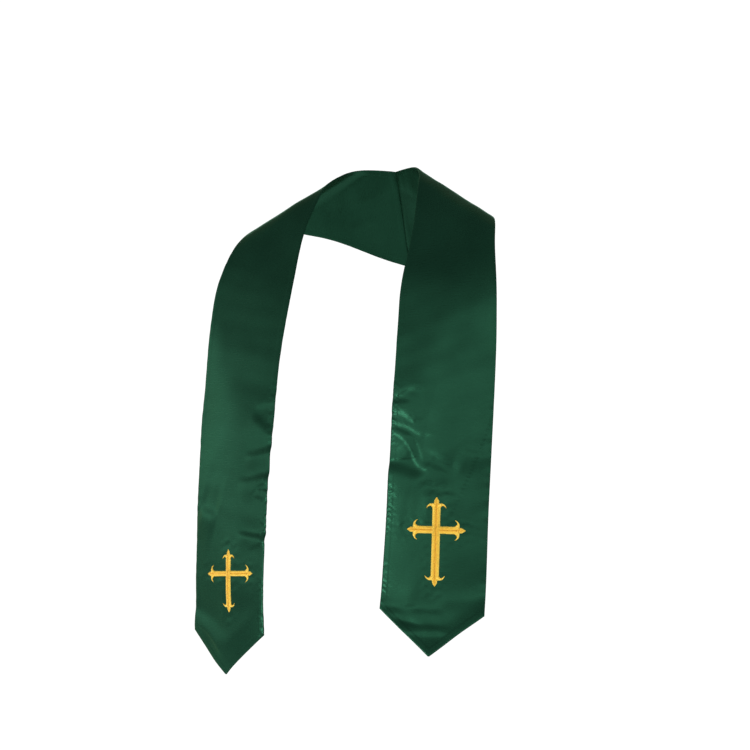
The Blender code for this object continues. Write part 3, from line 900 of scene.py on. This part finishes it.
def noise(material, place, scale, detail):
    """Noise from 0 to 1, read at a place."""
    sockets = {"Vector": place, "Scale": scale, "Detail": detail}
    return add_node(material, "TexNoise", sockets).outputs["Fac"]


def thread_noise(material, flat, scales, detail):
    """Noise on the flat cloth, at one scale across the strip and another along it."""
    drawn_out = add_node(material, "Mapping", {"Vector": flat, "Scale": scales + (1.0,)})
    return noise(material, drawn_out.outputs["Vector"], scale=1.0, detail=detail)


def colour_ramp(material, value, stops):
    """A value turned into a colour, which changes evenly from each stop (place, colour) to the
    next."""
    node = add_node(material, "ValToRGB", {"Fac": value})
    elements = node.color_ramp.elements
    for element, (position, colour) in zip(elements, (stops[0], stops[-1])):
        element.position = position
        element.color = colour
    for position, colour in stops[1:-1]:
        elements.new(position).color = colour
    return node.outputs["Color"]


def bump(material, sockets):
    """The normal of a surface raised by a height."""
    return add_node(material, "Bump", sockets).outputs["Normal"]


WEAVE_IN_SHADE = 0.55


def satin_material():
    """Dark green satin: long floats of thread along the strip and slubs across it, which change
    the shade, the gloss and the height a little, and a broad faint change of shade. The shade is
    that broad noise + the weave's share x the weave's noise."""
    material, shader = new_material("green_satin_cloth", {
        "Metallic": 0.70,
        "Specular IOR Level": 0.60,
        "Specular Tint": (0.08, 0.52, 0.28, 1.0),
        "Sheen Weight": 0.05,
        "Sheen Roughness": 0.45,
        "Sheen Tint": (0.30, 0.75, 0.50, 1.0),
    })
    flat = add_node(material, "UVMap", {})
    flat.uv_map = FLAT_MAP
    weave = thread_noise(material, flat.outputs["UV"], scales=(2600.0, 330.0), detail=2.0)
    slub = thread_noise(material, flat.outputs["UV"], scales=(60.0, 700.0), detail=3.0)
    place = add_node(material, "TexCoord", {}).outputs["Object"]
    broad = noise(material, place, scale=17.0, detail=4.0)
    shade = add_node(material, "Math", {0: weave, 1: WEAVE_IN_SHADE, 2: broad})
    shade.operation = "MULTIPLY_ADD"
    gloss = add_node(material, "MapRange", {"Value": slub, "To Min": 0.22, "To Max": 0.36})
    threads = bump(material, {"Height": weave, "Strength": 0.30, "Distance": 0.00012})
    set_sockets(material, shader, {
        "Base Color": colour_ramp(material, shade.outputs["Value"], (
            (0.52, (0.0088, 0.0400, 0.0222, 1.0)),
            (1.00, (0.0120, 0.0540, 0.0300, 1.0)),
        )),
        "Roughness": gloss.outputs["Result"],
        "Normal": bump(material, {"Height": slub, "Strength": 0.25, "Distance": 0.00010,
                                  "Normal": threads}),
    })
    return material


def gold_material():
    """Golden rayon thread: each stitch has its own random tone and a painted shade and sheen along
    it, with fine twisted strands as bump.
    """
    material, shader = new_material("gold_stitching", {
        "Metallic": 0.15,
        "Roughness": 0.38,
        "Sheen Weight": 0.10,
        "Sheen Tint": (1.0, 0.80, 0.40, 1.0),
    })
    place = add_node(material, "TexCoord", {}).outputs["Object"]
    strands = noise(material, place, scale=5200.0, detail=1.0)
    set_sockets(material, shader, {
        # From dark orange-brown, the painted shade in the groove, to pale gold, the painted sheen
        # at the bars' edges
        "Base Color": colour_ramp(material, attribute(material, "tone_and_painted_sheen", "Fac"), (
            (0.00, (0.66, 0.26, 0.017, 1.0)),
            (0.22, (0.88, 0.49, 0.032, 1.0)),
            (0.70, (0.97, 0.61, 0.055, 1.0)),
            (1.00, (1.00, 0.76, 0.135, 1.0)),
        )),
        "Normal": bump(material, {"Height": strands, "Strength": 0.25, "Distance": 0.00005}),
    })
    return material


# The surround: its profile, its numbers of rings and sectors, and its glow in front and behind
FLOOR_Z = -0.85
FLOOR_RADIUS = 3.6
CURVE_RADIUS = 1.0
WALL_TOP_Z = 3.4
FLOOR_RINGS = 15
CURVE_RINGS = 12
WALL_RINGS = 27
SECTORS = 96
FRONT_GLOW = 2.02
FRONT_HEIGHTS = (-0.50, 0.05, 0.45, 0.75, 1.40, 2.40, 3.40)
FRONT_SHARES = (0.27, 0.97, 1.00, 0.78, 0.35, 0.28, 0.20)
FRONT_DEPTH_SPAN = (0.0, 1.6)
SIDE_SHADE = 0.10
SIDE_SHADE_IN_DEG = (-100.0, -78.0)
SIDE_SHADE_OUT_DEG = (-46.0, -26.0)
BACK_GLOW = 1.08
BACK_SHADE = 0.80
BACK_SHADE_SPAN = (1.45, 2.40)


def surround_glow(points):
    """Glow of the surround: in front a band at the height of the panels, which eases down towards
    the floor and the top of the wall and is a tenth darker to the camera's left; behind even and
    white up to 1.45 m, and then darker."""
    azimuth = np.degrees(np.arctan2(points[:, 0], -points[:, 1]))
    side = ease(azimuth, *SIDE_SHADE_IN_DEG) * (1.0 - ease(azimuth, *SIDE_SHADE_OUT_DEG))
    front = FRONT_GLOW * np.interp(points[:, 2], FRONT_HEIGHTS, FRONT_SHARES)
    front = front * (1.0 - SIDE_SHADE * side)
    back = BACK_GLOW * (1.0 - BACK_SHADE * ease(points[:, 2], *BACK_SHADE_SPAN))
    return back + ease(-points[:, 1], *FRONT_DEPTH_SPAN) * (front - back)


def studio_surround():
    """A round pale floor that curves up into a low round wall: the profile of a flat disc, a
    quarter circle and an upright, turned about the vertical axis. It glows softly."""
    curve = np.linspace(0.0, np.pi / 2, CURVE_RINGS)[1:]
    floor = np.linspace(0.0, FLOOR_RADIUS, FLOOR_RINGS)[1:]
    wall = np.linspace(FLOOR_Z + CURVE_RADIUS, WALL_TOP_Z, WALL_RINGS)[1:]
    radii = np.concatenate((floor, FLOOR_RADIUS + CURVE_RADIUS * np.sin(curve),
                            np.full_like(wall, FLOOR_RADIUS + CURVE_RADIUS)))[:, None]
    heights = np.concatenate((np.full_like(floor, FLOOR_Z),
                              FLOOR_Z + CURVE_RADIUS * (1.0 - np.cos(curve)), wall))[:, None]
    around = np.linspace(0.0, 2 * np.pi, SECTORS, endpoint=False)[None, :]
    rings = np.stack((radii * np.cos(around), radii * np.sin(around),
                      heights + np.zeros_like(around)), axis=-1)
    points = np.concatenate((((0.0, 0.0, FLOOR_Z),), rings.reshape(-1, 3)))
    numbers = np.arange(1, len(points)).reshape(-1, SECTORS)
    numbers = np.concatenate((numbers, numbers[:, :1]), axis=1)
    middle = np.stack((np.zeros(SECTORS, int), numbers[0, :-1], numbers[0, 1:]), axis=-1)
    mesh = new_mesh("studio_surround", points, [grid_faces(numbers), middle])
    glow = np.repeat(surround_glow(points), 4).reshape(-1, 4)
    glow[:, 3] = 1.0
    colours = mesh.attributes.new("glow", "FLOAT_COLOR", "POINT")
    colours.data.foreach_set("color", glow.astype(np.float32).ravel())
    material, shader = new_material("pale_surround", {
        "Base Color": (0.0, 0.0, 0.0, 1.0),
        "Roughness": 0.9,
        "Specular IOR Level": 0.0,
        "Emission Strength": 1.0,
    })
    set_sockets(material, shader, {"Emission Color": attribute(material, "glow", "Color")})
    mesh.materials.append(material)
    in_scene("studio_surround", mesh)


CAMERA_TARGET = (0.029, -0.125, -0.277)
CAMERA_PLACE = dict(azimuth_deg=26.0, elevation_deg=0.0, distance=2.0)
LENS_MM = 75.0
SENSOR_MM = 36.0
LIGHTS = {
    "front_strip": dict(azimuth_deg=-18.6, elevation_deg=-8.0, distance=2.5,
                        width=0.80, height=0.22, power=12.0),
    "left_softbox": dict(azimuth_deg=-75.0, elevation_deg=11.0, distance=2.6,
                         width=1.2, height=1.2, power=2.6),
}
ROOM_COLOUR = (0.80, 0.82, 0.85, 1.0)
ROOM_STRENGTH = 0.33


def aim_at_target(name, data, azimuth_deg, elevation_deg, distance):
    """A camera or a light at that azimuth, elevation and distance from the camera's target,
    looking at it along its own -Z with its +Y up."""
    azimuth, elevation = np.radians((azimuth_deg, elevation_deg))
    level = np.array((np.sin(azimuth), -np.cos(azimuth), 0.0))
    away = level * np.cos(elevation) + np.array((0.0, 0.0, np.sin(elevation)))
    place = Vector(np.array(CAMERA_TARGET) + distance * away)
    thing = in_scene(name, data)
    thing.location = place
    thing.rotation_euler = (Vector(CAMERA_TARGET) - place).to_track_quat("-Z", "Y").to_euler()
    return thing


def camera_and_lights():
    """The camera at the photo's angle, a long soft strip low in front, a soft box at the side and
    the even light of a pale room."""
    lens = bpy.data.cameras.new("camera")
    lens.lens = LENS_MM
    lens.sensor_width = SENSOR_MM
    scene = bpy.context.scene
    scene.camera = aim_at_target("camera", lens, **CAMERA_PLACE)
    for name, row in LIGHTS.items():
        light = bpy.data.lights.new(name, "AREA")
        light.shape = "RECTANGLE"
        light.size = row["width"]
        light.size_y = row["height"]
        light.energy = row["power"]
        aim_at_target(name, light, row["azimuth_deg"], row["elevation_deg"], row["distance"])
    world = bpy.data.worlds.new("soft_room")
    world.use_nodes = True
    room = world.node_tree.nodes["Background"]
    room.inputs["Color"].default_value = ROOM_COLOUR
    room.inputs["Strength"].default_value = ROOM_STRENGTH
    scene.world = world
    scene.view_settings.view_transform = "Standard"


satin = satin_material()
gold = gold_material()
for half in ("left", "right"):
    stitches = cross_piece(half, gold)
    cloth = satin_half(half, satin)
studio_surround()
camera_and_lights()
